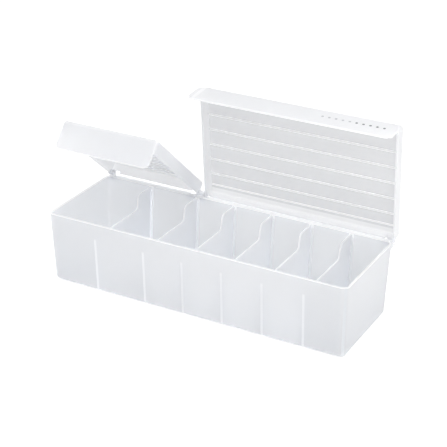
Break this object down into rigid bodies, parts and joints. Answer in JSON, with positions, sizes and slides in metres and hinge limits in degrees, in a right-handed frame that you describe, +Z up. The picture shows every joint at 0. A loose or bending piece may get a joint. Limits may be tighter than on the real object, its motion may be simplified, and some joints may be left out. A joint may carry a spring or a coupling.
{
  "type": "parts sorting tray",
  "caption": "Long translucent parts box: open tray with removable S-topped dividers and separately hinged lids with deep front flanges",
  "frame": {"origin": "middle of the flat underside of the tray, on the surface it stands on", "axes": "+X along the length towards the end under the large lid, -Y the front that the lids open from, +Z up"},
  "size_m": [0.3, 0.117, 0.1789],
  "materials": {
    "tray_plastic": "frosted translucent polypropylene, soft satin",
    "divider_plastic": "frosted translucent polypropylene, soft satin",
    "lid_plastic": "frosted translucent polypropylene, soft satin"
  },
  "bodies": {
    "tray": {"tray_body": "tray_plastic"},
    "divider_1": {"divider_1": "divider_plastic"},
    "divider_2": {"divider_2": "divider_plastic"},
    "divider_3": {"divider_3": "divider_plastic"},
    "divider_4": {"divider_4": "divider_plastic"},
    "divider_5": {"divider_5": "divider_plastic"},
    "divider_6": {"divider_6": "divider_plastic"},
    "small_lid": {"small_lid": "lid_plastic"},
    "large_lid": {"large_lid": "lid_plastic"}
  },
  "joints": [
    {"name": "small_lid_hinge", "type": "hinge", "parent": "tray", "child": "small_lid", "pos_m": [-0.09945, 0.054, 0.0715], "axis": [-1, 0, 0], "range_deg": [-41, 55]},
    {"name": "large_lid_hinge", "type": "hinge", "parent": "tray", "child": "large_lid", "pos_m": [0.05365, 0.054, 0.0715], "axis": [-1, 0, 0], "range_deg": [-84.5, 11.5]},
    {"name": "divider_1_lift", "type": "slide", "parent": "tray", "child": "divider_1", "axis": [0, 0, 1], "range_m": [0, 0.015]},
    {"name": "divider_2_lift", "type": "slide", "parent": "tray", "child": "divider_2", "axis": [0, 0, 1], "range_m": [0, 0.055]},
    {"name": "divider_3_lift", "type": "slide", "parent": "tray", "child": "divider_3", "axis": [0, 0, 1], "range_m": [0, 0.055]},
    {"name": "divider_4_lift", "type": "slide", "parent": "tray", "child": "divider_4", "axis": [0, 0, 1], "range_m": [0, 0.055]},
    {"name": "divider_5_lift", "type": "slide", "parent": "tray", "child": "divider_5", "axis": [0, 0, 1], "range_m": [0, 0.055]},
    {"name": "divider_6_lift", "type": "slide", "parent": "tray", "child": "divider_6", "axis": [0, 0, 1], "range_m": [0, 0.055]}
  ]
}
